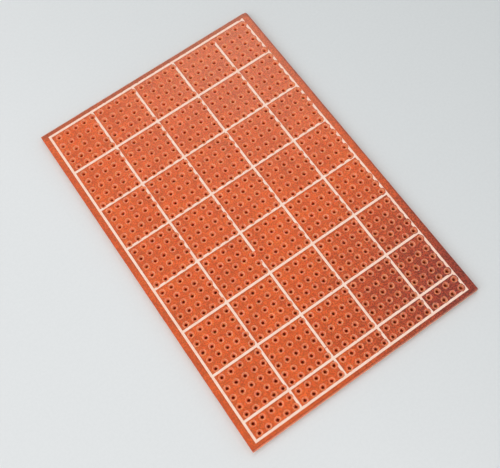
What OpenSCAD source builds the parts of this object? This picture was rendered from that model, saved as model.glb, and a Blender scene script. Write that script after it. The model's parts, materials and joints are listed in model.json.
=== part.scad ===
// Prototype board: a punched paper-laminate board with a printed grid of cells
// on the component side and a ring pad of copper round every hole underneath.
// X runs across the board, Y along it, Z up. The underside lies on Z = 0.

/* [Board] */
// Width of the board, across its columns of holes
board_w = 65.3; // [30:0.1:130]
// Length of the board, along its rows of holes
board_l = 97.5; // [30:0.1:195]
// Thickness of the laminate
board_t = 1.6; // [0.8:0.1:3.2]
// Least width of bare laminate between the printed frame and the edge
plain_border = 1.6; // [1.2:0.1:8]
// Radius of the one corner that is rounded
round_corner_r = 1.5; // [0.5:0.1:3]
// Radius of the other three corners
sharp_corner_r = 0.3; // [0.1:0.05:0.5]

/* [Snapped ends] */
// Width of the scored bevel that each short end was snapped along
score_w = 0.55; // [0.2:0.05:0.8]
// Depth of the scored bevel, cut from both faces
score_depth = 0.4; // [0.1:0.05:0.7]

/* [Lead holes] */
// Spacing of the holes both ways
pitch = 2.54; // [2:0.01:5.08]
// Diameter of a hole for a component lead
hole_d = 0.8; // [0.7:0.05:1.2]
// Rows of holes that the press punches in one stroke
stroke_rows = 3; // [1:1:6]
// How far each stroke lands to one side, then to the other
stroke_sway = 0.19; // [0:0.01:0.2]
// How far each stroke lands ahead, then behind
stroke_lead = 0.11; // [0:0.01:0.15]

/* [Copper pads] */
// Outer diameter of a ring pad
pad_d = 1.7; // [1.4:0.05:2.2]
// Thickness of the copper foil, let in flush with the underside
foil_t = 0.035; // [0.018:0.001:0.105]

/* [Printed grid] */
// Width of a printed line
line_w = 0.62; // [0.2:0.02:0.8]
// Thickness of the ink
ink_t = 0.03; // [0.01:0.01:0.06]
// Holes along each side of a full printed cell
cell_holes = 5; // [2:1:10]
// Diameter of the pressed ring round a hole, which takes no ink
ring_d = 1.6; // [1.4:0.05:1.8]

/* [Hidden] */
$fn = 32;
// How far the printed frame sits off the middle of the board
frame_shift_x = -0.17;
frame_shift_y = -0.05;
// How far the punched holes sit off the middle of their printed squares
punch_shift_x = 0.22;
punch_shift_y = -0.27;
// Sideways drift of the board in the press, from one stroke to the next
stroke_drift = 0.02;
columns = floor((board_w - 2 * plain_border) / pitch);
rows = floor((board_l - 2 * plain_border) / pitch);
frame_w = columns * pitch;
frame_l = rows * pitch;
frame_left = -frame_w / 2 + frame_shift_x;
frame_near = -frame_l / 2 + frame_shift_y;
// Ink that has flaked off a line: [line across, start along it, length]
flakes = [[2, 34.4, 2.8], [2, 8.0, 0.16], [4, 92.5, 1.2]];
// Lets a cutter run past the face that it cuts
past = 1;

// Which way stroke s lands: one side for even strokes, the other for odd
function side(s) = s % 2 == 0 ? 1 : -1;

// Centre of the hole in column i and row j
function hole_at(i, j) =
    let (s = floor(j / stroke_rows))
    [frame_left + (i + 0.5) * pitch + punch_shift_x + side(s) * stroke_sway + s * stroke_drift,
     frame_near + (j + 0.5) * pitch + punch_shift_y + side(s) * stroke_lead];

// A disc of diameter d at every hole
module at_holes(d) {
    for (i = [0:columns - 1])
        for (j = [0:rows - 1])
            translate(hole_at(i, j)) circle(d = d);
}

// What rounding a square corner with radius r takes off, for a corner at +X, +Y
module corner_waste(r) {
    difference() {
        translate([-r, -r]) square(r + past);
        translate([-r, -r]) circle(r = r);
    }
}

// The board's outline seen from above
module outline() {
    difference() {
        square([board_w, board_l], center = true);
        for (turn = [0:3]) {
            across = turn % 2 == 0 ? board_w : board_l;
            along = turn % 2 == 0 ? board_l : board_w;
            rotate(90 * turn)
                translate([across / 2, along / 2])
                    corner_waste(turn == 0 ? round_corner_r : sharp_corner_r);
        }
    }
}

// The waste of one scored bevel, along the far end of the top face
module score_waste() {
    translate([-board_w / 2 - past, board_l / 2, board_t])
        rotate([90, 0, 90])
            linear_extrude(board_w + 2 * past)
                polygon([
                    [-score_w, 0],
                    [0, -score_depth],
                    [past, -score_depth],
                    [past, past],
                    [-score_w, past],
                ]);
}

// The laminate: punched through at every hole, recessed for the pads, scored at both ends
module laminate_board() {
    color("coral")
    difference() {
        linear_extrude(board_t)
            difference() {
                outline();
                at_holes(hole_d);
            }
        linear_extrude(foil_t) at_holes(pad_d);
        for (end = [0, 1])
            for (face = [0, 1])
                mirror([0, end, 0])
                    translate([0, 0, face * board_t])
                        mirror([0, 0, face])
                            score_waste();
    }
}

// One ring of foil round each hole, separate from all the others
module copper_pads() {
    color("peru")
    linear_extrude(foil_t)
        difference() {
            at_holes(pad_d);
            at_holes(hole_d);
        }
}

// The printed lines before the holes cut them
module grid_lines() {
    for (i = [each [0:cell_holes:columns - 1], columns])
        translate([frame_left + i * pitch - line_w / 2, frame_near - line_w / 2])
            square([line_w, frame_l + line_w]);
    for (j = [each [rows:-cell_holes:1], 0])
        translate([frame_left - line_w / 2, frame_near + j * pitch - line_w / 2])
            square([frame_w + line_w, line_w]);
}

// The ink on the component side
module printed_grid() {
    color("mistyrose")
    translate([0, 0, board_t])
        linear_extrude(ink_t)
            difference() {
                grid_lines();
                at_holes(ring_d);
                for (f = flakes)
                    translate([frame_left + f[0] * cell_holes * pitch - line_w, frame_near + f[1]])
                        square([2 * line_w, f[2]]);
            }
}

laminate_board();
copper_pads();
printed_grid();
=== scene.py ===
"""Prototype board: the punched laminate, its ring pads and its printed grid.

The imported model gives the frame. The laminate and the pads are grown again here, with a
raised rim round every punched hole, snapped ends and etched rings.
Everything is in metres, with the underside on Z = 0 and the component side up.
"""
import json
import math

import bmesh
import bpy
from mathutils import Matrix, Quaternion, Vector


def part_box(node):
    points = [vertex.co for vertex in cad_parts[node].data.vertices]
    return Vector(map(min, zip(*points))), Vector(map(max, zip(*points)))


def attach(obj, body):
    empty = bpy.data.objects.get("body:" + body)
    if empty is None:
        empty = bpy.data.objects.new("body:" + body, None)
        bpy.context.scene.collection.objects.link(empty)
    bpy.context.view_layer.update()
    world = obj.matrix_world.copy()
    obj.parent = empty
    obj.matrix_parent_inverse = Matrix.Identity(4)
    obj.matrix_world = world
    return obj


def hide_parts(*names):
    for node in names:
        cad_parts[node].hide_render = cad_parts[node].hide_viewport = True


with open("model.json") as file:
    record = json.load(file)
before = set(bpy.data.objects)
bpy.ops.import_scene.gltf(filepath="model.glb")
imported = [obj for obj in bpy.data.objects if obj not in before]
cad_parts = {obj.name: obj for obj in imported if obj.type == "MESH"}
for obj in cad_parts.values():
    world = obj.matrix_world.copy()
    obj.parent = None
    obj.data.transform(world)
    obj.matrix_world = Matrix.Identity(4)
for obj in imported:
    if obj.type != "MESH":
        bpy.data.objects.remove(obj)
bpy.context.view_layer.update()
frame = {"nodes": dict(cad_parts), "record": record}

MM = 0.001

# ---------------------------------------------------------------- sizes, in metres

BOARD_LOW, BOARD_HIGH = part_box("laminate_board")
HALF_W = (BOARD_HIGH.x - BOARD_LOW.x) / 2
HALF_L = (BOARD_HIGH.y - BOARD_LOW.y) / 2
TOP = BOARD_HIGH.z
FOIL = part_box("copper_pads")[1].z

PITCH = 2.54 * MM
PAD_R = 0.85 * MM
RIM_R = 0.87 * MM
CREST_R = 0.80 * MM
CREST_HEIGHT = 0.026 * MM
LIP_R = 0.70 * MM
LIP_DEPTH = 0.03 * MM
FUNNEL_DEPTH = 0.22 * MM
STROKE_ROWS = 3
SWAY = 0.19 * MM
LEAD = 0.11 * MM
DRIFT = 0.02 * MM
SCORE_W = 0.55 * MM
SCORE_DEPTH = 0.4 * MM
ROUND_CORNER_R = 1.5 * MM
SHARP_CORNER_R = 0.3 * MM
HOLE_SIDES = 16
EDGE_POINTS = 840
CORNER_POINTS = 6
WELD = 0.005 * MM
# Centre of the darkened corner of the laminate.
DARK_CORNER = (0.033, -0.047, 0.0016)
# Centre of the painted sheen on the laminate.
SHEEN_CORNER = (0.033, 0.049, 0.0016)

mounts = {m["name"]: m for m in frame["record"]["mounts"]}
HOLE_R = mounts["hole_first"]["dims"]["r_mm"] * MM
FIRST_HOLE = Vector(mounts["hole_first"]["pos_m"])
LAST_HOLE = Vector(mounts["hole_last"]["pos_m"])
COLUMNS = round((LAST_HOLE.x - FIRST_HOLE.x) / PITCH) + 1
ROWS = round((LAST_HOLE.y - FIRST_HOLE.y) / PITCH) + 1


# ---------------------------------------------------------------- node helpers

class Sum:
    """A number socket that takes + - * / and makes the Math node for it."""

    def __init__(self, graph, socket):
        self.graph, self.socket = graph, socket

    def __add__(self, other):
        return self.graph.math("ADD", self, other)

    def __radd__(self, other):
        return self.graph.math("ADD", other, self)

    def __sub__(self, other):
        return self.graph.math("SUBTRACT", self, other)

    def __rsub__(self, other):
        return self.graph.math("SUBTRACT", other, self)

    def __mul__(self, other):
        return self.graph.math("MULTIPLY", self, other)

    __rmul__ = __mul__

    def __truediv__(self, other):
        return self.graph.math("DIVIDE", self, other)


class Graph:
    """Adds nodes to a node tree and links what they are given."""

    def __init__(self, tree):
        self.tree = tree

    def give(self, socket, value):
        value = value.socket if isinstance(value, Sum) else value
        if isinstance(value, bpy.types.NodeSocket):
            self.tree.links.new(value, socket)
        else:
            socket.default_value = value

    def add(self, kind, inputs=None, **settings):
        node = self.tree.nodes.new(kind)
        for name, value in settings.items():
            setattr(node, name, value)
        for key, value in (inputs or {}).items():
            self.give(node.inputs[key], value)
        return node

    def math(self, operation, a, b=0.0):
        node = self.add("ShaderNodeMath", {0: a, 1: b}, operation=operation)
        return Sum(self, node.outputs[0])

    def number(self, socket):
        return Sum(self, socket)

    def vector(self, x, y, z):
        return self.add("ShaderNodeCombineXYZ", {"X": x, "Y": y, "Z": z}).outputs[0]

    def split(self, vector):
        parts = self.add("ShaderNodeSeparateXYZ", {"Vector": vector})
        return [Sum(self, parts.outputs[k]) for k in range(3)]

    def ramp(self, value, low, high, to_low=0.0, to_high=1.0, smooth=True):
        node = self.add(
            "ShaderNodeMapRange",
            {"Value": value, "From Min": low, "From Max": high, "To Min": to_low, "To Max": to_high},
            interpolation_type="SMOOTHSTEP" if smooth else "LINEAR",
        )
        return Sum(self, node.outputs["Result"])

    def noise(self, place, scale, detail=2.0, roughness=0.5):
        node = self.add(
            "ShaderNodeTexNoise",
            {"Vector": place, "Scale": scale, "Detail": detail, "Roughness": roughness},
        )
        return Sum(self, node.outputs[0])


# ---------------------------------------------------------------- growing a piece

def new_form(name):
    """An empty tree with one geometry output."""
    tree = bpy.data.node_groups.new(name, "GeometryNodeTree")
    tree.interface.new_socket(name="Geometry", in_out="OUTPUT", socket_type="NodeSocketGeometry")
    return tree


SOCKET_TYPES = {
    float: "NodeSocketFloat",
    int: "NodeSocketInt",
    bpy.types.Object: "NodeSocketObject",
    bpy.types.Material: "NodeSocketMaterial",
    Vector: "NodeSocketVector",
}


def named_inputs(tree, values):
    """Adds one named input for each value, and returns the Group Input's sockets by name."""
    for name, value in values.items():
        tree.interface.new_socket(name=name, in_out="INPUT", socket_type=SOCKET_TYPES[type(value)])
    outputs = tree.nodes.new("NodeGroupInput").outputs
    return {name: outputs[name] for name in values}


def grow(name, tree, values):
    """Runs the tree once with these values, and returns the result as a plain mesh object."""
    piece = bpy.data.objects.new(name, bpy.data.meshes.new(name + "_seed"))
    bpy.context.scene.collection.objects.link(piece)
    modifier = piece.modifiers.new(name, "NODES")
    modifier.node_group = tree
    for item in tree.interface.items_tree:
        if item.in_out == "INPUT":
            modifier[item.identifier] = values[item.name]
    graph = bpy.context.evaluated_depsgraph_get()
    mesh = bpy.data.meshes.new_from_object(piece.evaluated_get(graph), depsgraph=graph)
    piece.modifiers.remove(modifier)
    seed, piece.data = piece.data, mesh
    bpy.data.meshes.remove(seed)
    mesh.name = name
    return piece


def lathe(name, profile, sides, closed):
    """A ring of faces round Z. The profile is a list of (radius, height, bruise, cut)."""
    verts, faces = [], []
    for radius, height, _, _ in profile:
        for k in range(sides):
            turn = 2 * math.pi * k / sides
            verts.append((radius * math.cos(turn), radius * math.sin(turn), height))
    bands = len(profile) if closed else len(profile) - 1
    for b in range(bands):
        low, high = b * sides, (b + 1) % len(profile) * sides
        for k in range(sides):
            after = (k + 1) % sides
            faces.append((low + k, low + after, high + after, high + k))
    mesh = bpy.data.meshes.new(name)
    mesh.from_pydata(verts, [], faces)
    for column, label in ((2, "bruise"), (3, "cut")):
        values = [point[column] for point in profile for _ in range(sides)]
        mesh.attributes.new(label, "FLOAT", "POINT").data.foreach_set("value", values)
    made = bpy.data.objects.new(name, mesh)
    bpy.context.scene.collection.objects.link(made)
    return made


def hole_points(g, at):
    """One point at the centre of every hole, by the rule that the press follows."""
    index = g.number(g.add("GeometryNodeInputIndex").outputs[0])
    column = g.math("MODULO", index, at["Columns"])
    row = g.math("FLOOR", index / at["Columns"])
    stroke = g.math("FLOOR", row / at["Stroke rows"])
    back = g.math("MODULO", stroke, 2.0) * -2.0
    first = g.split(at["First hole"])
    x = first[0] + column * at["Pitch"] + back * at["Sway"] + stroke * at["Drift"]
    y = first[1] + row * at["Pitch"] + back * at["Lead"]
    return g.add(
        "GeometryNodePoints",
        {"Count": g.math("MULTIPLY", at["Columns"], at["Rows"]), "Position": g.vector(x, y, 0.0)},
    ).outputs[0]


def at_every(g, points, form):
    placed = g.add("GeometryNodeInstanceOnPoints", {"Points": points, "Instance": form})
    return g.add("GeometryNodeRealizeInstances", {"Geometry": placed.outputs[0]}).outputs[0]


def mark(g, geometry, name, value, kind="FLOAT", where=True):
    """Writes a named value on the points of a form."""
    settings = {"Geometry": geometry, "Selection": where, "Name": name}
    node = g.add("GeometryNodeStoreNamedAttribute", settings, data_type=kind)
    g.give(node.inputs["Value"], value)
    return node.outputs[0]


def recall(g, name, kind="FLOAT"):
    """Reads a named value back."""
    return g.add("GeometryNodeInputNamedAttribute", {"Name": name}, data_type=kind).outputs[0]


# ---------------------------------------------------------------- the punched laminate

# Section of the board's edge, from the component side down:
# height, how far in the long sides lie, how far in the ends lie, how rough, how freshly cut, how dark a line is
# painted there
WEB_TOP = TOP - SCORE_DEPTH
WEB_LOW = SCORE_DEPTH
EDGE_SECTION = [
    (TOP, 0.05 * MM, SCORE_W, 0.0, 0.0, 0.5),
    (TOP - 0.08 * MM, 0.0, SCORE_W * 0.80, 0.1, 0.0, 1.0),
    (TOP - 0.16 * MM, 0.0, SCORE_W * 0.60, 0.1, 0.1, 0.0),
    (WEB_TOP, 0.0, 0.03 * MM, 0.5, 0.35, 0.0),
    (WEB_TOP - 0.06 * MM, 0.0, 0.0, 1.0, 1.0, 0.0),
    ((WEB_TOP + WEB_LOW) / 2, 0.0, 0.0, 1.0, 1.0, 0.0),
    (WEB_LOW + 0.06 * MM, 0.0, 0.0, 1.0, 1.0, 0.0),
    (WEB_LOW, 0.0, 0.03 * MM, 0.5, 0.35, 0.0),
    (FOIL + 0.05 * MM, 0.0, SCORE_W * 0.86, 0.1, 0.1, 0.5),
    (FOIL, 0.05 * MM, SCORE_W, 0.0, 0.0, 0.3),
]


def edge_level(g, at, height, side_inset, end_inset, rough):
    """Where the outline's points lie at one height of the edge section."""
    home = recall(g, "home", "FLOAT_VECTOR")
    x, y, _ = g.split(home)
    lift = g.vector(x, y, height * 3.0)
    wander = g.noise(home, 180.0, 3.0) * at["Wander"]
    tear = g.noise(lift, 2600.0, 4.0, 0.7) * at["Tear"] * rough
    inwards = wander + tear
    reach_x = g.ramp(g.math("ABSOLUTE", x), HALF_W - 1.0 * MM, HALF_W)
    reach_y = g.ramp(g.math("ABSOLUTE", y), HALF_L - 1.0 * MM, HALF_L)
    limit_x = HALF_W - side_inset - inwards * reach_x
    limit_y = HALF_L - end_inset - inwards * reach_y
    x = g.math("MAXIMUM", g.math("MINIMUM", x, limit_x), limit_x * -1.0)
    y = g.math("MAXIMUM", g.math("MINIMUM", y, limit_y), limit_y * -1.0)
    return g.vector(x, y, height)


def board_outline(g, at):
    """The board's outline as a closed row of points, with one corner rounder than the rest."""
    sheet = g.add("GeometryNodeCurvePrimitiveQuadrilateral", {"Width": 2 * HALF_W, "Height": 2 * HALF_L})
    x, y, _ = g.split(g.add("GeometryNodeInputPosition").outputs[0])
    far_right = g.math("GREATER_THAN", x + y, 0.9 * (HALF_W + HALF_L))
    radius = g.math("ADD", SHARP_CORNER_R, far_right * (ROUND_CORNER_R - SHARP_CORNER_R))
    corners = {"Curve": sheet.outputs[0], "Radius": radius, "Count": CORNER_POINTS}
    turned = g.add("GeometryNodeFilletCurve", corners, mode="POLY").outputs[0]
    spacing = {"Curve": turned, "Count": at["Edge points"]}
    row = g.add("GeometryNodeResampleCurve", spacing, mode="COUNT").outputs[0]
    home = g.add("GeometryNodeInputPosition").outputs[0]
    return mark(g, row, "home", home, "FLOAT_VECTOR")


def circle(g, radius):
    settings = {"Resolution": HOLE_SIDES, "Radius": radius}
    return g.add("GeometryNodeCurvePrimitiveCircle", settings, mode="RADIUS").outputs[0]


def sheet_between(g, outline, circles, height):
    """A flat sheet that fills the outline and leaves the circles open."""
    both = g.add("GeometryNodeJoinGeometry")
    for loop in (outline, circles):
        g.tree.links.new(loop, both.inputs[0])
    filled = g.add("GeometryNodeFillCurve", {"Curve": both.outputs[0]}, mode="TRIANGLES").outputs[0]
    x, y, _ = g.split(g.add("GeometryNodeInputPosition").outputs[0])
    return g.add("GeometryNodeSetPosition", {"Geometry": filled, "Position": g.vector(x, y, height)}).outputs[0]


def laminate_form():
    """The tree that builds the board: two sheets, a rim and a wall at each hole, and the edge."""
    values = {
        "Columns": COLUMNS, "Rows": ROWS, "Pitch": PITCH, "First hole": FIRST_HOLE,
        "Stroke rows": STROKE_ROWS, "Sway": SWAY, "Lead": LEAD, "Drift": DRIFT,
        "Rim radius": RIM_R, "Hole radius": HOLE_R, "Edge points": EDGE_POINTS,
        "Wander": 0.10 * MM, "Tear": 0.10 * MM, "Rim": rim_shape(), "Finish": laminate_finish(),
    }
    tree = new_form("punched_laminate")
    g = Graph(tree)
    at = named_inputs(tree, values)
    points = hole_points(g, at)

    outline = board_outline(g, at)
    levels = []
    for height, side_inset, end_inset, rough, _, _ in EDGE_SECTION:
        levels.append(edge_level(g, at, height, side_inset, end_inset, rough))
    first = g.add("GeometryNodeSetPosition", {"Geometry": outline, "Position": levels[0]}).outputs[0]
    last = g.add("GeometryNodeSetPosition", {"Geometry": outline, "Position": levels[-1]}).outputs[0]

    # The edge is drawn down from the top outline, one level at a time
    edge = g.add("GeometryNodeCurveToMesh", {"Curve": first}).outputs[0]
    edge = mark(g, edge, "cut", 0.0)
    edge = mark(g, edge, "soot", EDGE_SECTION[0][5])
    rim_of_edge = None
    for place, (_, _, _, _, cut, soot) in zip(levels[1:], EDGE_SECTION[1:]):
        drawn = g.add("GeometryNodeExtrudeMesh", {"Mesh": edge}, mode="EDGES")
        if rim_of_edge is not None:
            g.give(drawn.inputs["Selection"], rim_of_edge)
        g.give(drawn.inputs["Offset"], (0.0, 0.0, 0.0))
        g.give(drawn.inputs["Offset Scale"], 0.0)
        rim_of_edge = drawn.outputs["Top"]
        moved = g.add(
            "GeometryNodeSetPosition",
            {"Geometry": drawn.outputs[0], "Selection": rim_of_edge, "Position": place},
        )
        edge = mark(g, moved.outputs[0], "cut", cut, where=rim_of_edge)
        edge = mark(g, edge, "soot", soot, where=rim_of_edge)

    top = sheet_between(g, first, at_every(g, points, circle(g, at["Rim radius"])), TOP)
    below = sheet_between(g, last, at_every(g, points, circle(g, at["Hole radius"])), FOIL)
    below = g.add("GeometryNodeFlipFaces", {"Mesh": below}).outputs[0]
    rim = g.add("GeometryNodeObjectInfo", {"Object": at["Rim"]}).outputs["Geometry"]
    rims = at_every(g, points, rim)
    rims = g.add("GeometryNodeSetShadeSmooth", {"Geometry": rims}).outputs[0]

    joined = g.add("GeometryNodeJoinGeometry")
    for skin in (edge, top, below, rims):
        g.tree.links.new(skin, joined.inputs[0])
    welded = g.add("GeometryNodeMergeByDistance", {"Geometry": joined.outputs[0], "Distance": WELD})
    dressed = g.add("GeometryNodeSetMaterial", {"Geometry": welded.outputs[0], "Material": at["Finish"]})
    g.give(g.add("NodeGroupOutput").inputs[0], dressed.outputs[0])
    return tree, values


def rim_shape():
    """The raised rim that the punch leaves round a hole, and the hole's wall down to the foil."""
    return lathe("rim_shape", [
        (RIM_R, TOP, 0.0, 0.0),
        (CREST_R, TOP + CREST_HEIGHT, 1.0, 0.0),
        (LIP_R, TOP - LIP_DEPTH, 0.85, 0.0),
        (HOLE_R, TOP - FUNNEL_DEPTH, 0.75, 0.0),
        (HOLE_R, FOIL, 0.8, 0.0),
    ], HOLE_SIDES, closed=False)


# ---------------------------------------------------------------- the ring pads

def pad_form():
    """The tree that builds the etched rings of foil, one round each hole on the underside."""
    ring = lathe("pad_shape", [
        (HOLE_R, FOIL, 0.0, 0.0),
        (HOLE_R, 0.0, 0.0, 1.0),
        (PAD_R - 0.03 * MM, 0.0, 0.0, 0.0),
        (PAD_R, 0.4 * FOIL, 0.0, 0.5),
        (PAD_R, FOIL, 0.0, 0.5),
    ], HOLE_SIDES, closed=True)
    values = {
        "Columns": COLUMNS, "Rows": ROWS, "Pitch": PITCH, "First hole": FIRST_HOLE,
        "Stroke rows": STROKE_ROWS, "Sway": SWAY, "Lead": LEAD, "Drift": DRIFT,
        "Ring": ring, "Finish": foil_finish(),
    }
    tree = new_form("ring_pads")
    g = Graph(tree)
    at = named_inputs(tree, values)
    ring_mesh = g.add("GeometryNodeObjectInfo", {"Object": at["Ring"]}).outputs["Geometry"]
    rings = at_every(g, hole_points(g, at), ring_mesh)
    dressed = g.add("GeometryNodeSetMaterial", {"Geometry": rings, "Material": at["Finish"]})
    g.give(g.add("NodeGroupOutput").inputs[0], dressed.outputs[0])
    return tree, values


# ---------------------------------------------------------------- finishes

def new_finish(name):
    """A material with its graph, its shader and the place on the board as a vector."""
    material = bpy.data.materials.new(name)
    material.use_nodes = True
    g = Graph(material.node_tree)
    shader = material.node_tree.nodes["Principled BSDF"]
    place = g.add("ShaderNodeTexCoord").outputs["Object"]
    return material, g, shader, place


def blend_colour(g, factor, low, high):
    node = g.add("ShaderNodeMix", {0: factor, 6: low, 7: high}, data_type="RGBA")
    return node.outputs[2]


def stretched(g, place, x, y, z):
    return g.add("ShaderNodeVectorMath", {0: place, 1: (x, y, z)}, operation="MULTIPLY").outputs[0]


def relief(g, shader, height, distance, under=None):
    bump = g.add("ShaderNodeBump", {"Height": height, "Distance": distance, "Strength": 1.0})
    if under is not None:
        g.give(bump.inputs["Normal"], under)
    g.give(shader.inputs["Normal"], bump.outputs[0])
    return bump.outputs[0]


def laminate_tone(g, place):
    """The mottled orange of resin-soaked paper."""
    cloud = g.ramp(g.noise(place, 320.0, 5.0, 0.6), 0.35, 0.65)
    colour = blend_colour(g, cloud, (0.67, 0.102, 0.012, 1), (0.80, 0.132, 0.017, 1))
    fibres = g.ramp(g.noise(stretched(g, place, 1.0, 0.35, 1.0), 3600.0, 3.0, 0.65), 0.46, 0.72)
    colour = blend_colour(g, fibres * 0.35, colour, (0.46, 0.11, 0.04, 1))
    return colour


def distance(g, place, point):
    node = g.add("ShaderNodeVectorMath", {0: place, 1: point}, operation="DISTANCE")
    return g.number(node.outputs["Value"])


def painted_light_and_grain(g, place, colour):
    """Paints a sheen on one corner, darkens the next corner, paints shade along the far end and the +X side,
    and adds the grain.
    """
    # Painted sheen: the corner round this point is made paler and greyer, standing in for a reflection of the
    # back lamp.
    ragged = distance(g, place, SHEEN_CORNER) + (g.noise(place, 60.0, 3.0) - 0.5) * 0.02
    painted_sheen = g.ramp(ragged, 0.0, 0.065, 1.0, 0.0)
    colour = blend_colour(g, painted_sheen * 0.55, colour, (0.64, 0.20, 0.105, 1))
    # The corner round this point is darkened to a deep brown, and its grain is made stronger.
    ragged = distance(g, place, DARK_CORNER) + (g.noise(place, 110.0, 3.0) - 0.5) * 0.012
    dark_corner = g.ramp(ragged, 0.002, 0.047, 1.0, 0.0)
    colour = blend_colour(g, dark_corner * 0.9, colour, (0.26, 0.033, 0.02, 1))
    across, along, _ = g.split(place)
    # Painted shade: the top is darkened towards the far end's edge.
    ragged = along + (g.noise(place, 400.0, 3.0) - 0.5) * MM
    painted_end_shade = g.ramp(ragged, HALF_L - 2.2 * MM, HALF_L - 0.9 * MM)
    colour = blend_colour(g, painted_end_shade * 0.45, colour, (0.30, 0.09, 0.05, 1))
    # Painted shade: the top is darkened towards the +X side's edge, the side turned away from the key lamp.
    ragged = across + (g.noise(place, 700.0, 3.0) - 0.5) * (0.5 * MM)
    painted_side_shade = g.ramp(ragged, HALF_W - 0.65 * MM, HALF_W - 0.15 * MM)
    colour = blend_colour(g, painted_side_shade * 0.55, colour, (0.16, 0.03, 0.02, 1))
    grain = g.noise(place, 2900.0, 2.0, 0.8)
    fleck = g.ramp(grain, 0.36, 0.64, 0.78, 1.22) * (1.0 + dark_corner * g.ramp(grain, 0.40, 0.60, -0.35, 0.35))
    return g.add("ShaderNodeVectorMath", {0: colour, "Scale": fleck}, operation="SCALE").outputs[0]


def laminate_finish():
    material, g, shader, place = new_finish("paper_laminate")
    colour = laminate_tone(g, place)
    bruise = g.number(g.add("ShaderNodeAttribute", attribute_name="bruise").outputs["Fac"])
    cut = g.number(g.add("ShaderNodeAttribute", attribute_name="cut").outputs["Fac"])
    patchy = g.noise(place, 1500.0, 3.0)
    colour = painted_light_and_grain(g, place, colour)
    colour = blend_colour(g, bruise * g.ramp(patchy, 0.3, 0.65, 0.35, 0.85), colour, (0.96, 0.355, 0.18, 1))
    layers = g.noise(stretched(g, place, 0.12, 0.12, 1.0), 9000.0, 3.0, 0.7)
    torn = blend_colour(g, g.ramp(layers, 0.35, 0.65), (0.97, 0.50, 0.34, 1), (1.0, 0.76, 0.60, 1))
    colour = blend_colour(g, cut, colour, torn)
    # A dark line is painted along the top and bottom rims of the scored edge.
    soot = g.number(g.add("ShaderNodeAttribute", attribute_name="soot").outputs["Fac"])
    colour = blend_colour(g, soot * g.ramp(patchy, 0.2, 0.7, 0.45, 0.9), colour, (0.20, 0.04, 0.015, 1))
    g.give(shader.inputs["Base Color"], colour)
    _, _, height = g.split(place)
    # Painted glow: the hole walls below about 0.2 mm give off a faint orange light of their own, standing in
    # for light scattered into the holes.
    painted_glow = g.ramp(height, TOP - 0.7 * MM, TOP - 0.2 * MM, 1.0, 0.0) * bruise
    g.give(shader.inputs["Emission Color"], blend_colour(g, painted_glow, (0, 0, 0, 1), (0.11, 0.020, 0.004, 1)))
    shader.inputs["Emission Strength"].default_value = 1.0
    rough = 0.36 + g.noise(place, 900.0, 4.0) * 0.16 + cut * 0.45
    g.give(shader.inputs["Roughness"], rough)
    shader.inputs["IOR"].default_value = 1.5
    shader.inputs["Subsurface Weight"].default_value = 0.5
    shader.inputs["Subsurface Radius"].default_value = (1.0, 0.3, 0.1)
    shader.inputs["Subsurface Scale"].default_value = 1.2 * MM
    skin = relief(g, shader, g.noise(place, 1300.0, 3.0), 0.010 * MM)
    relief(g, shader, layers * cut, 0.06 * MM, under=skin)
    return material


def crater(g, place):
    """1 inside the punched craters, where the ink did not take, by the rule that the press follows."""
    x, y, _ = g.split(place)
    row = g.math("FLOOR", (y - FIRST_HOLE.y) / PITCH + 0.5)
    stroke = g.math("FLOOR", row / STROKE_ROWS)
    back = g.math("FLOORED_MODULO", stroke, 2.0) * -2.0
    across = x - FIRST_HOLE.x - back * SWAY - stroke * DRIFT
    column = g.math("FLOOR", across / PITCH + 0.5)
    column = g.math("MINIMUM", g.math("MAXIMUM", column, 0.0), COLUMNS - 1.0)
    aside = across - column * PITCH
    along = y - FIRST_HOLE.y - back * LEAD - row * PITCH
    reach = g.math("SQRT", aside * aside + along * along)
    ragged = reach + (g.noise(place, 1700.0, 3.0) - 0.5) * 0.45 * MM
    last = g.math("GREATER_THAN", column, COLUMNS - 1.5)
    return g.ramp(ragged - last * 0.16 * MM, 0.77 * MM, 0.93 * MM, 1.0, 0.0)


def ink_finish():
    material, g, shader, place = new_finish("printed_ink")
    cloud = g.ramp(g.noise(place, 700.0, 4.0, 0.6), 0.35, 0.65)
    colour = blend_colour(g, cloud, (0.98, 0.66, 0.52, 1), (1.0, 0.75, 0.62, 1))
    bare = painted_light_and_grain(g, place, laminate_tone(g, place))
    thin = g.ramp(g.noise(place, 5200.0, 3.0, 0.7), 0.62, 0.74)
    colour = blend_colour(g, thin * 0.55, colour, bare)
    missed = crater(g, place)
    colour = blend_colour(g, missed, colour, bare)
    g.give(shader.inputs["Base Color"], colour)
    g.give(shader.inputs["Roughness"], 0.5 + g.noise(place, 2500.0, 2.0) * 0.2)
    relief(g, shader, g.noise(place, 4000.0, 3.0, 0.6), 0.012 * MM)
    return material


def foil_finish():
    material, g, shader, place = new_finish("copper_foil")
    cloud = g.ramp(g.noise(place, 260.0, 5.0, 0.65), 0.38, 0.66)
    colour = blend_colour(g, cloud, (0.80, 0.37, 0.21, 1), (0.58, 0.24, 0.13, 1))
    spots = g.ramp(g.noise(place, 2300.0, 4.0, 0.7), 0.60, 0.75)
    colour = blend_colour(g, spots * 0.6, colour, (0.30, 0.12, 0.07, 1))
    g.give(shader.inputs["Base Color"], colour)
    g.give(shader.inputs["Roughness"], 0.28 + cloud * 0.18 + spots * 0.15)
    shader.inputs["Metallic"].default_value = 1.0
    brushed = g.noise(stretched(g, place, 1.0, 0.06, 1.0), 9000.0, 3.0)
    relief(g, shader, brushed, 0.006 * MM)
    return material


# ---------------------------------------------------------------- the pieces

def outward(piece):
    """Closes the slivers that a sheet leaves at its outline, and turns every face to look out."""
    work = bmesh.new()
    work.from_mesh(piece.data)
    open_edges = [edge for edge in work.edges if edge.is_boundary]
    bmesh.ops.holes_fill(work, edges=open_edges, sides=3)
    bmesh.ops.recalc_face_normals(work, faces=work.faces)
    work.to_mesh(piece.data)
    work.free()
    return piece


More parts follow.
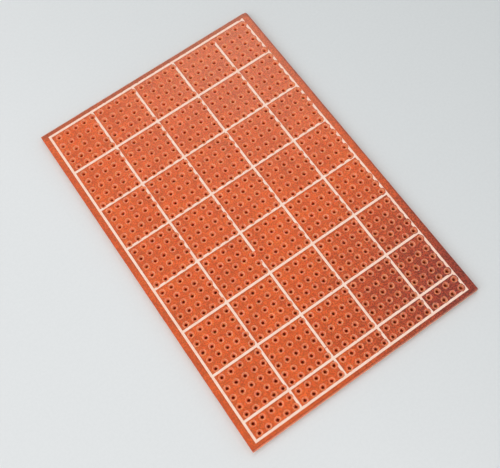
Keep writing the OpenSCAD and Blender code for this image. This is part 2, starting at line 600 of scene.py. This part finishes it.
def add_piece(name, form, node):
    """Grows a piece from its tree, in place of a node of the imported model."""
    tree, values = form
    piece = outward(grow(name, tree, values))
    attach(piece, "root")
    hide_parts(node)
    for value in values.values():
        if isinstance(value, bpy.types.Object):
            bpy.data.objects.remove(value)
    return piece


add_piece("punched_laminate", laminate_form(), "laminate_board")
add_piece("ring_pads", pad_form(), "copper_pads")

printed = frame["nodes"]["printed_grid"]
printed.data.materials.clear()
printed.data.materials.append(ink_finish())


# ---------------------------------------------------------------- floor, light and camera

def soft_box(name, place, side, watts):
    """A square lamp that points at the board."""
    data = bpy.data.lights.new(name, "AREA")
    data.shape, data.size, data.energy = "SQUARE", side, watts
    lamp = bpy.data.objects.new(name, data)
    lamp.location = place
    lamp.rotation_euler = (-Vector(place)).to_track_quat("-Z", "Y").to_euler()
    bpy.context.scene.collection.objects.link(lamp)


def backdrop_finish():
    """Pale paper with painted shade that darkens it to the right, and painted reddish bounce light and shade
    where the board lies on it.
    """
    material, g, shader, place = new_finish("backdrop_paper")
    across, away, _ = g.split(place)
    # Painted shade: the paper is darkened towards +X and a little towards +Y, standing in for the lamps'
    # falloff.
    shade = g.ramp(across * 0.95 + away * 0.28, -0.03, 0.11, smooth=False)
    shade = shade + (g.noise(place, 9.0, 2.0) - 0.5) * 0.10
    speck = g.ramp(g.noise(place, 1400.0, 3.0), 0.35, 0.65, 0.0, 0.08)
    tone = blend_colour(g, shade + speck, (0.785, 0.80, 0.805, 1), (0.635, 0.66, 0.665, 1))
    # Painted shade and reddish bounce light: the paper under the board is made dark red.
    beside = g.ramp(g.math("ABSOLUTE", across), HALF_W - 3 * MM, HALF_W - 2 * MM, 1.0, 0.0)
    beyond = g.ramp(g.math("ABSOLUTE", away), HALF_L - 3 * MM, HALF_L - 2 * MM, 1.0, 0.0)
    tone = blend_colour(g, beside * beyond, tone, (0.50, 0.14, 0.06, 1))
    g.give(shader.inputs["Base Color"], tone)
    shader.inputs["Roughness"].default_value = 0.9
    shader.inputs["Specular IOR Level"].default_value = 0.2
    return material


FLOOR = 1.5
FLOOR_GAP = 0.02 * MM
CORNERS = [(-FLOOR, -FLOOR, 0), (FLOOR, -FLOOR, 0), (FLOOR, FLOOR, 0), (-FLOOR, FLOOR, 0)]
floor_mesh = bpy.data.meshes.new("floor")
floor_mesh.from_pydata(CORNERS, [], [(0, 1, 2, 3)])
floor_mesh.materials.append(backdrop_finish())
floor = bpy.data.objects.new("floor", floor_mesh)
floor.location.z = -FLOOR_GAP
bpy.context.scene.collection.objects.link(floor)

world = bpy.data.worlds.new("studio")
world.use_nodes = True
sky = Graph(world.node_tree)
_, _, up = sky.split(sky.add("ShaderNodeTexCoord").outputs["Generated"])
background = world.node_tree.nodes["Background"]
background.inputs["Color"].default_value = (0.96, 0.98, 0.99, 1)
sky.give(background.inputs["Strength"], sky.ramp(up, 0.45, 1.0, 0.76, 0.08))
bpy.context.scene.world = world

soft_box("key", (-0.56, -0.04, 0.67), 0.9, 4.3)
soft_box("fill", (0.60, -0.35, 0.55), 0.9, 1.25)
soft_box("back", (0.36, 0.68, 0.92), 0.70, 2.6)

LENS = 55.9
CAMERA_PLACE = Vector((-34.0, -63.35, 181.2)) * MM
LOOK_AT = Vector((-3.5, -5.57, 1.6)) * MM
CAMERA_ROLL = math.radians(-7.43)

camera_data = bpy.data.cameras.new("camera")
camera_data.lens = LENS
camera_data.sensor_width = 36.0
camera_data.clip_start = 0.005
camera = bpy.data.objects.new("camera", camera_data)
camera.location = CAMERA_PLACE
facing = (LOOK_AT - CAMERA_PLACE).to_track_quat("-Z", "Y")
camera.rotation_mode = "QUATERNION"
camera.rotation_quaternion = facing @ Quaternion((0, 0, 1), CAMERA_ROLL)
bpy.context.scene.collection.objects.link(camera)
bpy.context.scene.camera = camera
bpy.context.scene.view_settings.view_transform = "Standard"
